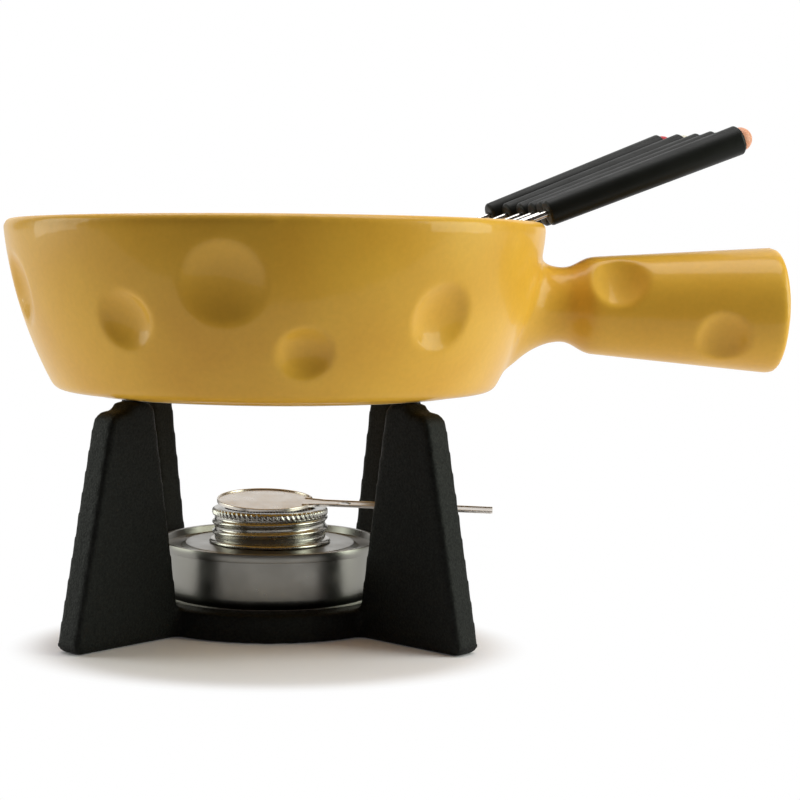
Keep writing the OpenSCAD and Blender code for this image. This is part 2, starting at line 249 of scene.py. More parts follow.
def together(*meshes):
    """Several meshes in one."""
    whole = bmesh.new()
    for bm in meshes:
        part = bpy.data.meshes.new("part")
        bm.to_mesh(part)
        bm.free()
        whole.from_mesh(part)
        bpy.data.meshes.remove(part)
    return whole


def in_one_skin(bm, voxel):
    """Shapes that run into each other made one closed skin of small even faces."""
    rough_mesh = bpy.data.meshes.new("rough")
    bm.to_mesh(rough_mesh)
    bm.free()
    rough = bpy.data.objects.new("rough", rough_mesh)
    bpy.context.scene.collection.objects.link(rough)
    remesh = rough.modifiers.new("skin", "REMESH")
    remesh.mode = "VOXEL"
    remesh.voxel_size = voxel * MM
    remesh.use_smooth_shade = True
    skin = bpy.data.meshes.new_from_object(rough.evaluated_get(bpy.context.evaluated_depsgraph_get()))
    whole = bmesh.new()
    whole.from_mesh(skin)
    bpy.data.objects.remove(rough)
    bpy.data.meshes.remove(rough_mesh)
    bpy.data.meshes.remove(skin)
    return whole


def smoothed(bm, verts, times, factor=0.5):
    """Those vertices drawn towards their neighbours, a number of times."""
    for _ in range(times):
        bmesh.ops.smooth_vert(bm, verts=verts, factor=factor, use_axis_x=True, use_axis_y=True, use_axis_z=True)
    return bm


def made(bm, name, material, sharp_from=40):
    """A finished piece: its mesh is in place, and edges sharper than an angle stay crisp."""
    mesh = bpy.data.meshes.new(name)
    bm.to_mesh(mesh)
    bm.free()
    mesh.shade_smooth()
    mesh.set_sharp_from_angle(angle=math.radians(sharp_from))
    mesh.materials.append(material)
    piece = bpy.data.objects.new(name, mesh)
    bpy.context.scene.collection.objects.link(piece)
    return piece


def leg():
    """One blade leg on the +X axis, standing on its toe."""
    lean_out = math.atan((leg_foot_r - leg_top_r) / stand_h)
    lean_in = math.atan((leg_in_top_r - leg_in_foot_r) / stand_h)
    shoulder_z = stand_h - shoulder_drop
    out_c = (leg_top_r + shoulder_drop * math.tan(lean_out)
             - top_out_rd * (1 - math.sin(lean_out)) / math.cos(lean_out), shoulder_z - top_out_rd)
    in_c = (leg_in_top_r + top_in_rd * (1 - math.sin(lean_in)) / math.cos(lean_in), stand_h - top_in_rd)
    toe_c = (leg_foot_r - toe_rd * (1 + math.sin(lean_out)) / math.cos(lean_out), toe_rd)
    toe_h = base_h - 2
    outline = (
        [(base_r - 4, 0)]
        + arc(toe_c, toe_rd, -90, math.degrees(lean_out), 4)
        + arc(out_c, top_out_rd, math.degrees(lean_out), 90, 8)
        + [(shoulder_r + 1.5, shoulder_z), (shoulder_r + 0.3, shoulder_z + 0.8),
           (shoulder_r - 0.3, stand_h - 0.8), (shoulder_r - 1.3, stand_h)]
        + arc(in_c, top_in_rd, 90, 180 - math.degrees(lean_in), 4)
        + [(leg_in_foot_r + toe_h * math.tan(lean_in), toe_h), (base_r - 4, toe_h)]
    )
    bm = bmesh.new()
    verts, _ = chain(bm, [(x, -leg_t / 2, z) for x, z in outline], closed=True)
    side = bm.faces.new(verts)
    other = bmesh.ops.extrude_face_region(bm, geom=[side])["geom"]
    far = [item for item in other if isinstance(item, bmesh.types.BMVert)]
    bmesh.ops.translate(bm, verts=far, vec=(0, leg_t * MM, 0))
    bmesh.ops.recalc_face_normals(bm, faces=bm.faces[:])
    return bm


base = turned([(0, 0), (base_r, 0), (base_r, base_h - base_edge), (base_r - base_edge, base_h),
               (seat_r, base_h), (seat_r, seat_z), (0, seat_z)], steps=120)
legs = [moved(leg(), Matrix.Rotation(math.radians(turn), 4, "Z")) for turn in (45, 135, 225, 315)]
casting = in_one_skin(together(base, *legs), casting_voxel)
smoothed(casting, casting.verts[:], 9)

# Sand-cast iron under matt black paint: the sand's grain shows through. Its tops are less rough, so they catch
# light, and they are also painted a little lighter as a painted glint.
iron, tree = blank_material("black_painted_cast_iron")
sand_grain = 0.9
place = add(tree, "TexCoord").outputs["Object"]
grain = add(tree, "TexNoise", {"Vector": place, "Scale": 1 / (sand_grain * MM), "Detail": 3, "Roughness": 0.6})
pits = add(tree, "TexVoronoi", {"Vector": place, "Scale": 1 / (3 * sand_grain * MM)}, feature="SMOOTH_F1")
swell = add(tree, "TexNoise", {"Vector": place, "Scale": 1 / (14 * MM), "Detail": 2})
# Colour from the grain: partly random tone, partly a painted glint that makes the grain's tops lighter.
grain_tone_and_glint = add(tree, "ValToRGB", {"Fac": grain.outputs["Fac"]})
grain_tone_and_glint.color_ramp.elements[0].position = 0.35
grain_tone_and_glint.color_ramp.elements[0].color = linear("#0a0b09")
grain_tone_and_glint.color_ramp.elements[1].position = 0.75
grain_tone_and_glint.color_ramp.elements[1].color = linear("#1b1c19")
dullness = add(tree, "MapRange", {"Value": grain.outputs["Fac"], "From Min": 0.3, "From Max": 0.7,
                                  "To Min": 0.62, "To Max": 0.42})
rough_skin = add(tree, "Bump", {"Height": grain.outputs["Fac"], "Distance": 0.5 * MM, "Strength": 0.55})
pitted = add(tree, "Bump", {"Height": pits.outputs["Distance"], "Distance": 0.4 * MM, "Strength": 0.25,
                            "Normal": rough_skin.outputs[0]})
wavy = add(tree, "Bump", {"Height": swell.outputs["Fac"], "Distance": 1.0 * MM, "Strength": 0.25,
                          "Normal": pitted.outputs[0]})
shader = add(tree, "BsdfPrincipled", {"Base Color": grain_tone_and_glint.outputs["Color"], "Roughness": dullness.outputs[0],
                                      "Normal": wavy.outputs[0], "Specular IOR Level": 0.12})
add(tree, "OutputMaterial", {"Surface": shader.outputs[0]})
stand = made(casting, "cast_iron_stand", iron, sharp_from=180)
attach(stand, "stand")
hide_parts("stand")

# ---------------------------------------------------------------------------------------------
# Pot: slip-cast stoneware under an amber-yellow glaze, made like a cheese with round holes.
# Its hollow handle is cast with it and flares into the wall; a vent lets the kiln's air out.
# ---------------------------------------------------------------------------------------------
rim_r, pot_h, pot_wall, pot_floor = 115.3, 73.4, 7, 6.8
wall_curve_r, rim_lean = 184, 5.6
base_corner_r, floor_corner_r = 6, 14
foot_r, foot_w, foot_h = 80, 9, 1.7
grip_end, grip_z, grip_droop = 215.3, 41.2, 1.2
neck_r, grip_r, grip_end_r, grip_wall, vent_r = 16, 21, 27, 6, 4
root_r, end_rd = 28.5, 3
dent_depth, dent_edge = 4.4, 1.1
pot_voxel = 1.32
pot_off = (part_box("pot")[0].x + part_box("pot")[1].y) / MM      # the pot's axis along +X
rim_z = stand_h + pot_h
base_z = stand_h + foot_h
floor_z = base_z + pot_floor

# The wall is one long arc round wall_c; angles are below the horizontal
wall_c = Vector((rim_r - wall_curve_r * math.cos(math.radians(rim_lean)),
                 rim_z + wall_curve_r * math.sin(math.radians(rim_lean))))


def beside(level, radius, corner):
    """The centre of a corner arc that touches a level and the wall's arc, and its angle."""
    angle = math.degrees(math.asin((wall_c.y - level) / (radius - corner)))
    reach = radius - corner
    return (wall_c.x + reach * math.cos(math.radians(angle)), level), angle


def wall_r(z):
    """The pot's outer radius at a height."""
    return wall_c.x + math.sqrt(wall_curve_r ** 2 - (wall_c.y - z) ** 2)


rim_rd = pot_wall / 2
rim_mid, rim_a = beside(rim_z - rim_rd, wall_curve_r, rim_rd)
base_mid, base_a = beside(base_z + base_corner_r, wall_curve_r, base_corner_r)
inner_curve_r = wall_curve_r - pot_wall
floor_mid, floor_a = beside(floor_z + floor_corner_r, inner_curve_r, floor_corner_r)
bowl_outline = (
    [(0, stand_h + foot_h / 2)]
    + eased([(0, stand_h + foot_h / 2), (foot_r - foot_w, stand_h + foot_h / 2), (foot_r - foot_w, stand_h),
             (foot_r, stand_h), (foot_r, base_z), (base_mid[0], base_z)], 0.4)[1:]
    + arc(base_mid, base_corner_r, -90, -base_a, 8)[1:]
    + arc(wall_c, wall_curve_r, -base_a, -rim_a, 30)
    + arc(rim_mid, rim_rd, -rim_a, 180 - rim_a, 12)
    + arc(wall_c, inner_curve_r, -rim_a, -floor_a, 30)
    + arc(floor_mid, floor_corner_r, -floor_a, -90, 10)
    + [(0, floor_z)]
)
bowl = turned(bowl_outline, steps=240)

root_x = wall_r(stand_h + grip_z) - 9
neck_x = wall_r(stand_h + grip_z) + 14
shoulder_x = neck_x + 13


def grip_at(x):
    """The handle's radius at a distance from the pot's axis."""
    if x < neck_x:
        return neck_r + (root_r - neck_r) * ((neck_x - x) / (neck_x - root_x)) ** 2
    if x < shoulder_x:
        return neck_r + (grip_r - neck_r) * (1 - math.cos(math.pi * (x - neck_x) / (shoulder_x - neck_x))) / 2
    return grip_r + (grip_end_r - grip_r) * (x - shoulder_x) / (grip_end - shoulder_x)


flare = [root_x + (neck_x - root_x) * i / 10 for i in range(11)]
shoulder = [neck_x + (shoulder_x - neck_x) * i / 10 for i in range(1, 11)]
hollow = [neck_x - 4, neck_x] + shoulder + [grip_end - grip_wall]
handle_outline = (
    [(root_r * i / 6, root_x) for i in range(6)]
    + [(grip_at(x), x) for x in flare + shoulder]
    + arc((grip_end_r - end_rd, grip_end - end_rd), end_rd, 0, 90, 6)
    + [(vent_r, grip_end), (vent_r, grip_end - grip_wall)]
    + [(grip_at(x) - grip_wall, x) for x in reversed(hollow)]
    + [(0, neck_x - 4)]
)
along_grip = (Matrix.Translation(Vector((0, 0, stand_h + grip_z)) * MM)
              @ Matrix.Rotation(math.radians(90 + grip_droop), 4, "Y"))
handle = moved(turned(handle_outline, steps=120), along_grip)
for vert in handle.verts:       # the root is drawn out to the middle of the wall
    ring = math.hypot(vert.co.x, vert.co.y)
    middle = (wall_r(vert.co.z / MM) - 0.45 * pot_wall) * MM
    if ring < middle:
        vert.co.xy *= middle / ring

pot_skin = in_one_skin(together(bowl, handle), pot_voxel)
smoothed(pot_skin, pot_skin.verts[:], 3)
axis_start = along_grip @ Vector((0, 0, 0))
axis_way = (along_grip @ Vector((0, 0, 1)) - axis_start).normalized()


def near_joint(point):
    """True close round the line where the handle's flare meets the wall's outside."""
    off_axis = (point - axis_start).cross(axis_way).length / MM
    off_wall = math.hypot(point.x, point.y) / MM - wall_r(point.z / MM)
    return point.x > 0 and 14 < off_axis < 38 and -2 < off_wall < 9


smoothed(pot_skin, [vert for vert in pot_skin.verts if near_joint(vert.co)], 22)


def press_dent(bm, centre, outward, across):
    """Presses a shallow round hollow with a soft edge into the skin's outside."""
    ball = (across ** 2 / 4 + dent_depth ** 2) / (2 * dent_depth)
    bm.normal_update()
    for vert in bm.verts:
        step = (vert.co - centre) / MM
        if step.length > 0.8 * across:
            continue
        height = step.dot(outward)
        side = (step - outward * height).length
        if side > 0.5 * across + 2 * dent_edge or vert.normal.dot(outward) < 0.2:
            continue
        depth = math.sqrt(max(ball ** 2 - side ** 2, 0)) - (ball - dent_depth)
        soft = max(dent_edge - abs(depth), 0) ** 2 / (4 * dent_edge)
        vert.co -= outward * (max(depth, 0) + soft) * MM


# Hollows in the wall: turn from the front towards the handle, height above the foot, diameter
wall_dents = [
    (-71, 44, 30), (-32, 33, 24), (-10, 47.3, 32), (6.4, 21.2, 21), (36.5, 34.8, 28),
    (128, 41, 27), (152, 27, 20), (176, 45, 32), (203, 31, 24), (230, 47, 26), (252, 27, 20),
]
# Hollows in the handle: distance from the pot's axis, turn up from the front, diameter
grip_dents = [(144.5, 33, 24), (188, -29, 22), (156, 172, 24), (194, 128, 20)]
for turn, height, across in wall_dents:
    z = stand_h + height
    dip = math.asin((wall_c.y - z) / wall_curve_r)
    way = math.radians(turn - 90)
    outward = Vector((math.cos(way) * math.cos(dip), math.sin(way) * math.cos(dip), -math.sin(dip)))
    centre = Vector((wall_r(z) * math.cos(way), wall_r(z) * math.sin(way), z)) * MM
    press_dent(pot_skin, centre, outward, across)
for x, turn, across in grip_dents:
    spoke = along_grip.to_3x3() @ Matrix.Rotation(math.radians(180 - turn), 3, "Z") @ Vector((0, 1, 0))
    centre = along_grip @ Vector((0, 0, x * MM)) + spoke * grip_at(x) * MM
    press_dent(pot_skin, centre, spoke, across)
smoothed(pot_skin, pot_skin.verts[:], 2)
moved(pot_skin, Matrix.Translation((pot_off * MM, 0, 0)))

# Stoneware under a poured glaze: deep yellow where it runs thick and paler where it thins, with a
# faint orange-peel ripple in its shine; the foot it was fired on is bare clay.
glaze, tree = blank_material("amber_glazed_stoneware")
place = add(tree, "TexCoord").outputs["Object"]
pools = add(tree, "TexNoise", {"Vector": place, "Scale": 1 / (38 * MM), "Detail": 2})
colour = add(tree, "ValToRGB", {"Fac": pools.outputs["Fac"]})
colour.color_ramp.elements[0].position = 0.3
colour.color_ramp.elements[0].color = linear("#dca538")
colour.color_ramp.elements[1].position = 0.7
colour.color_ramp.elements[1].color = linear("#e4b03f")
flecks = add(tree, "TexNoise", {"Vector": place, "Scale": 1 / (2.2 * MM), "Detail": 2})
fleck_tone = add(tree, "MapRange", {"Value": flecks.outputs["Fac"], "From Min": 0.2, "From Max": 0.8,
                                    "To Min": 0.96, "To Max": 1.03})
flecked = add(tree, "VectorMath", {0: colour.outputs["Color"], 3: fleck_tone.outputs[0]}, operation="SCALE")
height = add(tree, "SeparateXYZ", {0: place}).outputs["Z"]
bare = add(tree, "MapRange", {"Value": height, "From Min": (stand_h + 0.2) * MM,
                              "From Max": (stand_h + 0.7) * MM, "To Min": 1, "To Max": 0})
body_colour = add(tree, "Mix", {"Factor": bare.outputs[0], 6: flecked.outputs[0], 7: linear("#d8c6a6")},
                  data_type="RGBA")
peel = add(tree, "TexNoise", {"Vector": place, "Scale": 1 / (5 * MM), "Detail": 1})
ripple = add(tree, "Bump", {"Height": peel.outputs["Fac"], "Distance": 0.15 * MM, "Strength": 0.25})
shader = add(tree, "BsdfPrincipled", {"Base Color": body_colour.outputs[2], "Roughness": 0.34,
                                      "Specular IOR Level": 0.14, "Normal": ripple.outputs[0],
                                      "Coat Weight": 0.2, "Coat Roughness": 0.06,
                                      "Coat Normal": ripple.outputs[0]})
add(tree, "OutputMaterial", {"Surface": shader.outputs[0]})
pot = made(pot_skin, "glazed_pot", glaze, sharp_from=180)
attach(pot, "pot")
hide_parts("pot")

# ---------------------------------------------------------------------------------------------
# Burner: a pan drawn from stainless sheet and a spun top with a filler neck, whose edge is
# folded over the pan's and crimped. Both are satin from the press, and their steel is painted
# much darker than the lid's: painted shade from the pot above them.
# ---------------------------------------------------------------------------------------------
burner_r, sheet, pan_corner, crimp_h = 47, 0.6, 7, 3.6
pan_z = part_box("burner_pan")[0].z / MM
pan_rim_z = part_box("burner_pan")[1].z / MM + sheet
pan_r = burner_r - sheet - 0.2
deck_z, moat_z = pan_rim_z - 1.6, pan_rim_z - 2.9
deck_r, filler_r = 36.3, 22.5
filler_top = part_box("burner_top")[1].z / MM


def brushed_steel(name, tint, roughness, line, strength):
    """Stainless sheet with fine rings from the lathe, a line apart in millimetres."""
    metal, tree = blank_material(name)
    place = add(tree, "TexCoord").outputs["Object"]
    flat = add(tree, "VectorMath", {0: place, 1: (1, 1, 0)}, operation="MULTIPLY")
    radius = add(tree, "VectorMath", {0: flat.outputs[0]}, operation="LENGTH")
    split = add(tree, "SeparateXYZ", {0: place})
    rings = add(tree, "CombineXYZ", {0: radius.outputs["Value"], 1: split.outputs["Z"]})
    lines = add(tree, "TexNoise", {"Vector": rings.outputs[0], "Scale": 1 / (line * MM), "Detail": 2})
    cloud = add(tree, "TexNoise", {"Vector": place, "Scale": 1 / (9 * MM), "Detail": 3})
    dull = add(tree, "MapRange", {"Value": cloud.outputs["Fac"], "From Min": 0.3, "From Max": 0.7,
                                  "To Min": roughness - 0.05, "To Max": roughness + 0.05})
    ridges = add(tree, "Bump", {"Height": lines.outputs["Fac"], "Distance": 0.05 * MM, "Strength": strength})
    shader = add(tree, "BsdfPrincipled", {"Base Color": linear(tint), "Metallic": 1,
                                          "Roughness": dull.outputs[0], "Normal": ridges.outputs[0]})
    add(tree, "OutputMaterial", {"Surface": shader.outputs[0]})
    return metal


pan_outline = (
    [(0, pan_z)]
    + arc((pan_r - pan_corner, pan_z + pan_corner), pan_corner, -90, 0, 6)
    + [(pan_r, pan_rim_z - sheet), (pan_r - sheet, pan_rim_z - sheet)]
    + arc((pan_r - pan_corner, pan_z + pan_corner), pan_corner - sheet, 0, -90, 6)
    + [(0, pan_z + sheet)]
)
# Painted shade: this stainless has a far darker colour than the lid's, for the shade under the pot.
shade_darkened_satin = brushed_steel("shade_darkened_spun_stainless", "#85837d", 0.32, 0.5, 0.2)
pan = made(turned(pan_outline), "burner_pan_shell", shade_darkened_satin)
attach(pan, "burner")
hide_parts("burner_pan")

in_r = pan_r - sheet
top_outline = eased([
    (pan_r, pan_rim_z - crimp_h), (burner_r, pan_rim_z - crimp_h), (burner_r, pan_rim_z),
    (in_r - sheet, pan_rim_z), (in_r - sheet - 0.5, moat_z), (deck_r + 1.5, moat_z), (deck_r, deck_z),
    (filler_r + 0.2, deck_z), (filler_r, deck_z + 0.3), (filler_r, filler_top), (filler_r - sheet, filler_top),
    (filler_r - sheet, deck_z - sheet), (deck_r, deck_z - sheet), (deck_r + 1.5, moat_z - sheet),
    (in_r - 0.1, moat_z - sheet), (in_r, pan_rim_z - sheet), (pan_r, pan_rim_z - sheet),
], 0.35, closed=True, steps=2)
burner_top = made(turned(top_outline, closed=True), "crimped_burner_top", shade_darkened_satin)
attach(burner_top, "burner")
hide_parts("burner_top")

# ---------------------------------------------------------------------------------------------
# Absorbent pad: a felted cotton disc that fills the pan and holds the fuel. It is pressed in
# and swells a little, so its top is crowned and uneven.
# ---------------------------------------------------------------------------------------------
pad_low, pad_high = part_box("wick_pad")
pad_r = pad_high.x / MM - 0.3
pad_bottom, pad_top = pad_low.z / MM + 0.1, pad_high.z / MM - 0.1
pad_edge = 3
crown = [(pad_r * i / 12, pad_top - 1.6 * (i / 12) ** 3) for i in range(12)]
pad_outline = (
    [(0, pad_bottom), (pad_r - pad_edge, pad_bottom)]
    + arc((pad_r - pad_edge, pad_bottom + pad_edge), pad_edge, -90, 0, 5)[1:]
    + arc((pad_r - pad_edge, pad_top - 1.6 - pad_edge), pad_edge, 0, 60, 4)
    + list(reversed(crown))[1:]
)
felt, tree = blank_material("felted_cotton")
place = add(tree, "TexCoord").outputs["Object"]
fibres = add(tree, "TexNoise", {"Vector": place, "Scale": 1 / (0.8 * MM), "Detail": 5, "Roughness": 0.7})
felt_tone = add(tree, "ValToRGB", {"Fac": fibres.outputs["Fac"]})
felt_tone.color_ramp.elements[0].color = linear("#cdc6b6")
felt_tone.color_ramp.elements[1].color = linear("#f1ede4")
fuzz = add(tree, "Bump", {"Height": fibres.outputs["Fac"], "Distance": 0.6 * MM, "Strength": 0.8})
shader = add(tree, "BsdfPrincipled", {"Base Color": felt_tone.outputs["Color"], "Roughness": 0.95,
                                      "Normal": fuzz.outputs[0], "Sheen Weight": 0.3})
add(tree, "OutputMaterial", {"Surface": shader.outputs[0]})
pad = made(turned(pad_outline, steps=96), "absorbent_pad", felt, sharp_from=180)
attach(pad, "burner")
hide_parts("wick_pad")

# ---------------------------------------------------------------------------------------------
# Screw collar: bright nickelled sheet with two turns of rolled thread, a flared foot and a
# knurled band to grip. Its top ledge clamps the gauze over the flame opening.
# ---------------------------------------------------------------------------------------------
collar_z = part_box("screw_collar")[0].z / MM
collar_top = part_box("screw_collar")[1].z / MM
collar_r, collar_skin, collar_in, flame_r = 24.8, 23.7, 23, 19.3
bead_rd, thread_pitch = 1.1, 4.2
thread_from, thread_to = collar_z + 3.6, collar_top - 3.6
knurl_count, knurl_depth, knurl_h = 66, 0.45, 2.9
side_rows = 34
side = [(collar_skin, collar_z + 1.9 + (collar_top - knurl_h - collar_z - 1.9) * i / side_rows)
        for i in range(side_rows + 1)]
band = [(collar_r - 0.5 * (2 * i / 10 - 1) ** 4, collar_top - knurl_h + (knurl_h - 0.2) * i / 10)
        for i in range(11)]
collar_outline = (
    [(collar_in, collar_z), (collar_r + 1.0, collar_z), (collar_r + 1.2, collar_z + 0.3),
     (collar_r + 0.9, collar_z + 1.0), (collar_r + 0.1, collar_z + 1.5)]
    + side + band
    + [(collar_r - 0.9, collar_top), (collar_r - 2.5, collar_top), (flame_r + 0.6, collar_top),
       (flame_r, collar_top - 0.4), (flame_r, collar_top - 1.2), (collar_in, collar_top - 1.2)]
)
collar_mesh = turned(collar_outline, steps=528, closed=True)
for vert in collar_mesh.verts:
    ring, z = math.hypot(vert.co.x, vert.co.y) / MM, vert.co.z / MM
    turn = math.atan2(vert.co.y, vert.co.x) / (2 * math.pi)
    out = ring
    if ring > collar_in + 0.4 and collar_z + 1.8 < z < collar_top - knurl_h - 0.1:
        steps_off = ((z - collar_z) / thread_pitch - turn) % 1 - 0.5
        bead = math.cos(min(abs(steps_off) * thread_pitch / (1.35 * bead_rd), 1) * math.pi / 2) ** 1.4
        ends = min(max((z - thread_from + 1.2) / 1.2, 0), 1) * min(max((thread_to + 1.2 - z) / 1.2, 0), 1)
        out = ring + (collar_r - collar_skin) * bead * ends
    elif ring > collar_r - 0.7 and z > collar_top - knurl_h + 0.1:
        lean = (z - collar_top) / knurl_h
        wave = math.sin(2 * math.pi * (knurl_count * turn + 0.7 * lean))
        out = ring - knurl_depth * (0.5 - 0.5 * wave)
    vert.co.xy *= out / ring
bright = brushed_steel("bright_rolled_nickel", "#a8a59e", 0.25, 0.35, 0.12)
collar = made(collar_mesh, "threaded_collar", bright, sharp_from=60)
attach(collar, "collar")
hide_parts("screw_collar")

# ---------------------------------------------------------------------------------------------
# Flame gauze: a disc of woven steel wire that lies on the neck under the collar's ledge and
# spreads the flame. Heat has tinted it brown.
# ---------------------------------------------------------------------------------------------
gauze_low, gauze_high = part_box("flame_gauze")
wire_d, mesh_step = 0.34, 1.25
gauze_r = gauze_high.x / MM
gauze_z = (gauze_low.z + gauze_high.z) / 2 / MM
rim_wire = 0.24
wires = []
reach = int(gauze_r / mesh_step)
for k in range(-reach, reach + 1):
    along = k * mesh_step
    half = math.sqrt((gauze_r - 0.4) ** 2 - along ** 2) if abs(along) < gauze_r - 0.4 else 0
    if half < mesh_step:
        continue
    for quarter in (0, 1):
        wire = bmesh.new()
        bmesh.ops.create_cone(wire, cap_ends=True, segments=5, radius1=wire_d / 2 * MM, radius2=wire_d / 2 * MM,
                              depth=2 * half * MM)
        lay = 0.07 * (1 if quarter else -1)
        wires.append(moved(wire, Matrix.Rotation(math.pi / 2 * quarter, 4, "Z")
                           @ Matrix.Translation(Vector((0, along, gauze_z + lay)) * MM)
                           @ Matrix.Rotation(math.pi / 2, 4, "Y")))
rim_outline = arc((gauze_r - rim_wire - 0.05, gauze_z), rim_wire, 0, 315, 7)
wires.append(turned(rim_outline, steps=90, closed=True))
hot_wire, tree = blank_material("heat_tinted_steel_wire")
place = add(tree, "TexCoord").outputs["Object"]
heat = add(tree, "TexNoise", {"Vector": place, "Scale": 1 / (8 * MM), "Detail": 2})
tint = add(tree, "ValToRGB", {"Fac": heat.outputs["Fac"]})
tint.color_ramp.elements[0].color = linear("#6d6152")
tint.color_ramp.elements[1].color = linear("#9d968a")
shader = add(tree, "BsdfPrincipled", {"Base Color": tint.outputs["Color"], "Metallic": 1, "Roughness": 0.38})
add(tree, "OutputMaterial", {"Surface": shader.outputs[0]})
gauze = made(together(*wires), "woven_flame_gauze", hot_wire)
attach(gauze, "gauze_holder")
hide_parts("flame_gauze")

# ---------------------------------------------------------------------------------------------
# Snuffer lid: one blank of stainless sheet. The disc has a rolled lip, and the handle is
# folded up along both sides to a channel, with a hole to hang it by.
# ---------------------------------------------------------------------------------------------
lid_r, lid_reach, lid_bar_w, lid_t = 20.8, 97, 8.5, 0.8
lip_h, bar_lip, fold_h = 0.6, 0.7, 0.35      # the disc's lip, and the width and height of the folds
lid_hole_x, lid_hole_r = 34, 2.75
lid_shift, lid_tip, lid_droop, lid_swing = -2, 5, 1.3, -7
lid_low = lid_r * (math.sin(math.radians(lid_tip)) + math.sin(math.radians(lid_droop)))
half_bar = lid_bar_w / 2
neck_turn = 21          # half the angle that the handle's root takes of the disc, in degrees
on_lid = (
    Matrix.Translation(Vector((lid_shift, 0, collar_top + lid_low)) * MM)
    @ Matrix.Rotation(math.radians(lid_swing), 4, "Z")
    @ Matrix.Rotation(math.radians(lid_droop), 4, "Y")
    @ Matrix.Rotation(math.radians(lid_tip), 4, "X")
)
root = arc((0, 0), lid_r, neck_turn, 360 - neck_turn, 96)
waist = [(lid_r + 1.2, half_bar + 1.3), (lid_r + 4, half_bar + 0.25), (lid_r + 7, half_bar)]
tip = [(lid_reach - 0.8, half_bar), (lid_reach, half_bar - 0.8)]
blank_outline = (
    root
    + [(x, -y) for x, y in waist] + [(x, -y) for x, y in tip]
    + list(reversed(tip)) + list(reversed(waist))
)
blank = bmesh.new()
_, outer = chain(blank, [(x, y, 0) for x, y in blank_outline], closed=True)
_, inner = chain(blank, [(x, y, 0) for x, y in arc((lid_hole_x, 0), lid_hole_r, 0, 345, 23)], closed=True)
bmesh.ops.triangle_fill(blank, use_beauty=True, use_dissolve=False, edges=outer + inner, normal=(0, 0, 1))
raised = bmesh.ops.extrude_face_region(blank, geom=blank.faces[:], use_keep_orig=True)["geom"]
upper = [item for item in raised if isinstance(item, bmesh.types.BMVert)]
bmesh.ops.translate(blank, verts=upper, vec=(0, 0, lid_t * MM))
bmesh.ops.recalc_face_normals(blank, faces=blank.faces[:])

lip = bmesh.new()
lip_outline = eased([(lid_r - 0.75, lid_t - 0.3), (lid_r, lid_t - 0.3), (lid_r, lid_t + lip_h),
                     (lid_r - 0.7, lid_t + lip_h)], 0.3, closed=True)
lip_verts, lip_edges = chain(lip, [(r, 0, z) for r, z in lip_outline], closed=True)
lip_face = lip.faces.new(lip_verts)
bmesh.ops.rotate(lip, verts=lip.verts[:], matrix=Matrix.Rotation(math.radians(neck_turn), 3, "Z"))
bmesh.ops.spin(lip, geom=[lip_face] + lip_edges + lip_verts, cent=(0, 0, 0), axis=(0, 0, 1),
               angle=math.radians(360 - 2 * neck_turn), steps=96)
bmesh.ops.recalc_face_normals(lip, faces=lip.faces[:])


def rolled_bar(start, end, width, low, high, edge):
    """A bar between two flat points with soft edges, from one height to another."""
    way = Vector(end) - Vector(start)
    bm = bmesh.new()
    bmesh.ops.create_cube(bm, size=1)
    bmesh.ops.scale(bm, vec=Vector((way.length, width, high - low)) * MM, verts=bm.verts[:])
    bmesh.ops.bevel(bm, geom=bm.edges[:], offset=edge * MM, affect="EDGES", segments=3, profile=0.5,
                    material=-1)
    middle = (Vector(start) + Vector(end)) / 2
    place = Matrix.Translation(Vector((middle.x, middle.y, (low + high) / 2)) * MM)
    return moved(bm, place @ Matrix.Rotation(math.atan2(way.y, way.x), 4, "Z"))


folds = []
for side_y in (1, -1):
    edge_y = side_y * (half_bar - bar_lip / 2)
    on_disc, at_root, at_tip = (lid_r - 4.5, side_y * 6.4), (lid_r + 4, edge_y), (lid_reach, edge_y)
    folds.append(rolled_bar(at_root, at_tip, bar_lip, 0.1, lid_t + fold_h, 0.2))
    folds.append(rolled_bar(on_disc, (lid_r + 4.6, edge_y), bar_lip, 0.3, lid_t + fold_h, 0.2))
lid_steel = brushed_steel("satin_pressed_stainless", "#d2cbc2", 0.30, 0.6, 0.15)
lid = made(moved(together(blank, lip, *folds), on_lid), "pressed_snuffer_lid", lid_steel, sharp_from=35)
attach(lid, "lid")
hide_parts("snuffer_lid")

# ---------------------------------------------------------------------------------------------
# Forks: six stainless rods, each bent to two pointed tines at one end and pressed into a black
# moulded handle at the other. A coloured cap in the handle's end tells whose fork it is.
# ---------------------------------------------------------------------------------------------
rod_l, rod_r, socket = 188, 1.4, 22
fork_grip_l, fork_grip_r, fork_end_r = 93, 5.7, 6.6
cap_r, dome_h, peg_r, peg_l = 5.3, 5, 3, 6
tine_l, tine_r, point_l = 24, 0.9, 5
tine_c = 7.6 / 2 - tine_r
cap_colours = ["#e2a283", "#e0b23a", "#4f8a4a", "#3d6a9e", "#d9d2c2", "#b8323a"]


def fork_place(number):
    """The matrix that stands +Z along a fork from its tip, as its rod lies in the frame."""
    joint = next(j for j in frame["joints"] if j["name"] == f"fork_{number}_pull")
    way = Vector(joint["axis"]).normalized()
    points = [vert.co for vert in frame["nodes"][f"fork_{number}_rod"].data.vertices]
    far = max(point.dot(way) for point in points)
    ring = {tuple(round(c, 6) for c in point) for point in points if far - point.dot(way) < 2e-6}
    end = sum((Vector(point) for point in ring), Vector()) / len(ring)
    across = Vector((0, 0, 1)).cross(way).normalized()
    turn = Matrix((across.cross(way), across, way)).transposed()
    return Matrix.Translation(end - way * (rod_l + socket) * MM) @ turn.to_4x4()


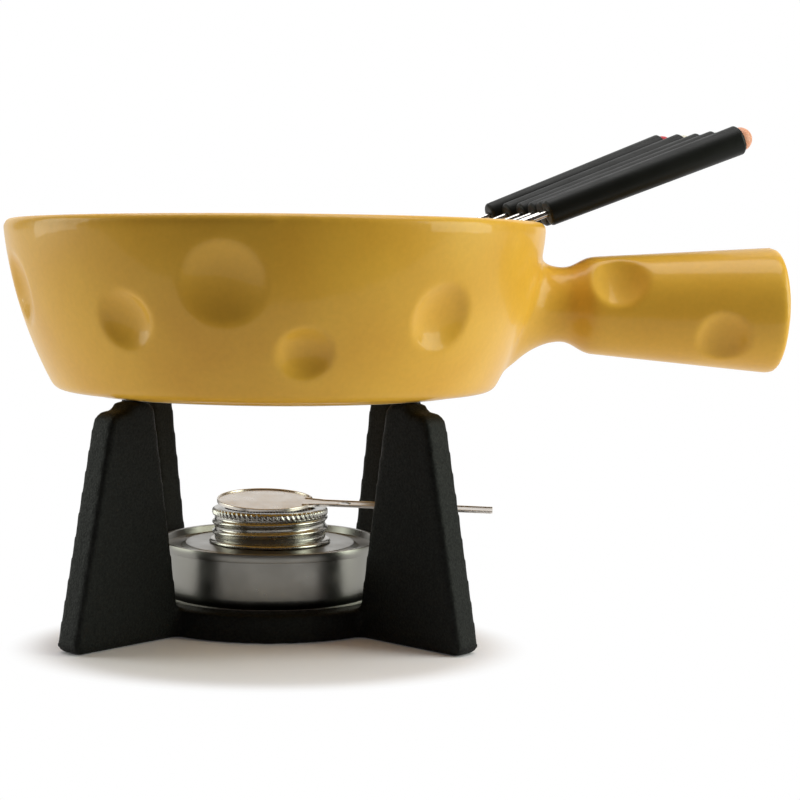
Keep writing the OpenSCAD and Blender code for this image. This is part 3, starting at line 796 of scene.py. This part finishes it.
def fork_rod():
    """The rod, its bow and its two tines, with the tips at the origin."""
    root = tine_l + tine_c      # where the bow of the tines meets the rod
    rod = turned([(0, root - 0.6), (rod_r - 0.5, root - 0.6), (rod_r, root + 1.4),
                  (rod_r, rod_l + socket), (0, rod_l + socket)], steps=24)
    bow = bmesh.new()
    bmesh.ops.create_circle(bow, cap_ends=False, segments=14, radius=tine_r * MM,
                            matrix=Matrix.Translation(Vector((0, tine_c, tine_l)) * MM))
    bmesh.ops.spin(bow, geom=bow.verts[:] + bow.edges[:], cent=(0, 0, tine_l * MM), axis=(1, 0, 0),
                   angle=math.pi, steps=16)
    for z, thickness in ((point_l, 1.0), (1.2, 0.42), (0.0, 0.14)):
        open_edges = [edge for edge in bow.edges if edge.is_boundary]
        grown = bmesh.ops.extrude_edge_only(bow, edges=open_edges)["geom"]
        fresh = [item for item in grown if isinstance(item, bmesh.types.BMVert)]
        for side_y in (1, -1):
            half = [vert for vert in fresh if vert.co.y * side_y > 0]
            middle = Vector((0, side_y * tine_c * MM, 0))
            spread = max((Vector((v.co.x, v.co.y, 0)) - middle).length for v in half)
            for vert in half:
                flat = Vector((vert.co.x, vert.co.y, 0)) - middle
                vert.co = middle + flat * (thickness * tine_r * MM / spread) + Vector((0, 0, z * MM))
    bmesh.ops.holes_fill(bow, edges=[edge for edge in bow.edges if edge.is_boundary], sides=0)
    bmesh.ops.recalc_face_normals(bow, faces=bow.faces[:])
    return together(rod, bow)


def fork_grip():
    """The handle, from its rod end at the origin, hollow for the rod and the cap's peg."""
    return turned(eased([
        (rod_r, socket), (rod_r, 0.4), (rod_r + 0.5, 0), (fork_grip_r - 0.8, 0), (fork_grip_r, 0.8),
        (fork_end_r, fork_grip_l - 1.3), (fork_end_r - 1.2, fork_grip_l), (peg_r, fork_grip_l),
        (peg_r, fork_grip_l - peg_l), (0, fork_grip_l - peg_l), (0, socket),
    ], 0.35, closed=False, steps=2), steps=64, closed=True)


def fork_cap():
    """The domed cap and its peg, from the handle's end at the origin."""
    dome_rd = (cap_r ** 2 + dome_h ** 2) / (2 * dome_h)
    low = math.degrees(math.asin((dome_rd - dome_h) / dome_rd))
    return turned([(0, -peg_l), (peg_r, -peg_l), (peg_r, 0)]
                  + arc((0, dome_h - dome_rd), dome_rd, low, 90, 12), steps=64)


def moulded_plastic(name, hex_colour, roughness, grain_mm, grain_depth):
    """Moulded plastic: even colour with the die's fine spark grain breaking its shine."""
    plastic, tree = blank_material(name)
    place = add(tree, "TexCoord").outputs["Object"]
    spark = add(tree, "TexNoise", {"Vector": place, "Scale": 1 / (grain_mm * MM), "Detail": 2})
    wear = add(tree, "TexNoise", {"Vector": place, "Scale": 1 / (12 * MM), "Detail": 3})
    sheen = add(tree, "MapRange", {"Value": wear.outputs["Fac"], "From Min": 0.3, "From Max": 0.7,
                                   "To Min": roughness - 0.05, "To Max": roughness + 0.06})
    grain = add(tree, "Bump", {"Height": spark.outputs["Fac"], "Distance": grain_depth * MM, "Strength": 0.3})
    shader = add(tree, "BsdfPrincipled", {"Base Color": linear(hex_colour), "Roughness": sheen.outputs[0],
                                          "Normal": grain.outputs[0], "Specular IOR Level": 0.14})
    add(tree, "OutputMaterial", {"Surface": shader.outputs[0]})
    return plastic


# Drawn stainless rod, polished along its length: long bright lines.
rod_steel, tree = blank_material("polished_stainless_rod")
place = add(tree, "TexCoord").outputs["Object"]
scuffs = add(tree, "TexNoise", {"Vector": place, "Scale": 1 / (3 * MM), "Detail": 3})
polish = add(tree, "MapRange", {"Value": scuffs.outputs["Fac"], "From Min": 0.3, "From Max": 0.7,
                                "To Min": 0.14, "To Max": 0.24})
shader = add(tree, "BsdfPrincipled", {"Base Color": linear("#cfcbc4"), "Metallic": 1,
                                      "Roughness": polish.outputs[0]})
add(tree, "OutputMaterial", {"Surface": shader.outputs[0]})
black_handle = moulded_plastic("black_moulded_phenolic", "#161714", 0.42, 0.5, 0.06)

for number, hex_colour in enumerate(cap_colours, start=1):
    place = fork_place(number)
    body = f"fork_{number}"
    rod = made(moved(fork_rod(), place), f"fork_{number}_tined_rod", rod_steel, sharp_from=50)
    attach(rod, body)
    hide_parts(f"fork_{number}_rod")
    at_grip = place @ Matrix.Translation((0, 0, rod_l * MM))
    grip = made(moved(fork_grip(), at_grip), f"fork_{number}_handle", black_handle)
    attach(grip, body)
    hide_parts(f"fork_{number}_grip")
    at_cap = place @ Matrix.Translation((0, 0, (rod_l + fork_grip_l) * MM))
    cap_plastic = moulded_plastic(f"fork_{number}_cap_enamel", hex_colour, 0.3, 0.8, 0.05)
    cap = made(moved(fork_cap(), at_cap), f"fork_{number}_domed_cap", cap_plastic)
    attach(cap, body)
    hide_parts(f"fork_{number}_cap")
